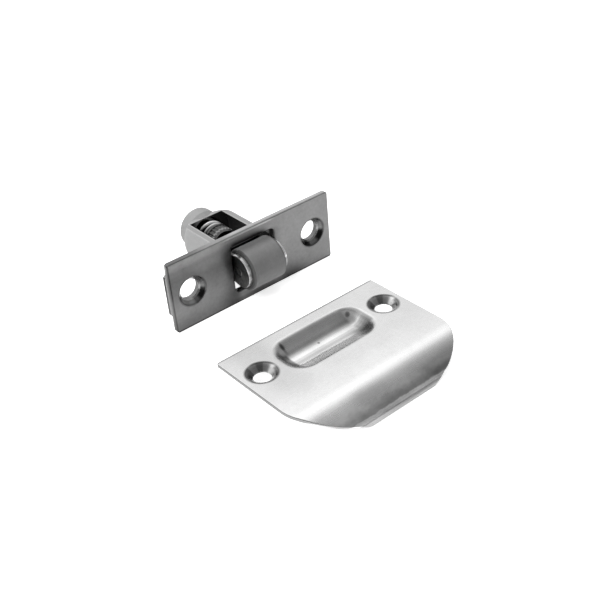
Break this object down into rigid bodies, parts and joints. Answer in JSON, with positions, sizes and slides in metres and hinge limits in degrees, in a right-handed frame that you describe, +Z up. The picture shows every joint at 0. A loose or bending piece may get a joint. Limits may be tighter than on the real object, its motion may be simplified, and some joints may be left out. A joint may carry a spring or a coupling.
{
  "type": "roller latch",
  "caption": "Roller latch: a sprung roller standing out of a flat face plate, an open barrel case with a tension nut, and a stamped full-lip strike with a pocket for the roller.",
  "frame": {"origin": "on the barrel's axis at the back face of the case's flange, midway between the screw holes", "axes": "+Y rearwards along the barrel into the door, +X along the face plate, +Z up; the face plate's lower edge and the strike's lip rest on one surface"},
  "size_m": [0.0622, 0.098, 0.0222],
  "materials": {
    "face_plate": "satin",
    "latch_case": "matt zinc casting",
    "roller": "satin",
    "roller_axle": "plain turned",
    "roller_yoke": "dark stamped",
    "plunger_stem": "plain turned",
    "tension_nut": "knurled",
    "thrust_washer": "plain stamped",
    "return_spring": "drawn wire",
    "retaining_ring": "blackened",
    "strike_plate": "satin"
  },
  "bodies": {
    "case": {"face_plate": "face_plate", "latch_case": "latch_case", "return_spring": "return_spring"},
    "carriage": {"roller_yoke": "roller_yoke", "roller_axle": "roller_axle", "plunger_stem": "plunger_stem", "retaining_ring": "retaining_ring"},
    "roller": {"roller": "roller"},
    "washer": {"thrust_washer": "thrust_washer"},
    "nut": {"tension_nut": "tension_nut"},
    "strike": {"strike_plate": "strike_plate"}
  },
  "joints": [
    {"name": "roller_push", "type": "slide", "parent": "case", "child": "carriage", "axis": [0, 1, 0], "range_m": [0, 0.0042], "stiffness_N_per_m": 3500, "springref_m": -0.004, "deforming": ["return_spring"]},
    {"name": "roller_spin", "type": "hinge", "parent": "carriage", "child": "roller", "pos_m": [0, -0.0048, 0], "axis": [1, 0, 0], "continuous": true},
    {"name": "nut_travel", "type": "slide", "parent": "carriage", "child": "washer", "axis": [0, -1, 0], "range_m": [0, 0.0016], "deforming": ["return_spring"]},
    {"name": "nut_turn", "type": "hinge", "parent": "washer", "child": "nut", "pos_m": [0, 0.01275, 0], "axis": [0, -1, 0], "range_deg": [0, 720]},
    {"name": "strike_lift", "type": "slide", "parent": "case", "child": "strike", "axis": [0, 0, 1], "range_m": [0, 0.06]}
  ],
  "couplings": [
    {"joint": "nut_turn", "follows": "nut_travel", "rad_per_m": 7854}
  ]
}
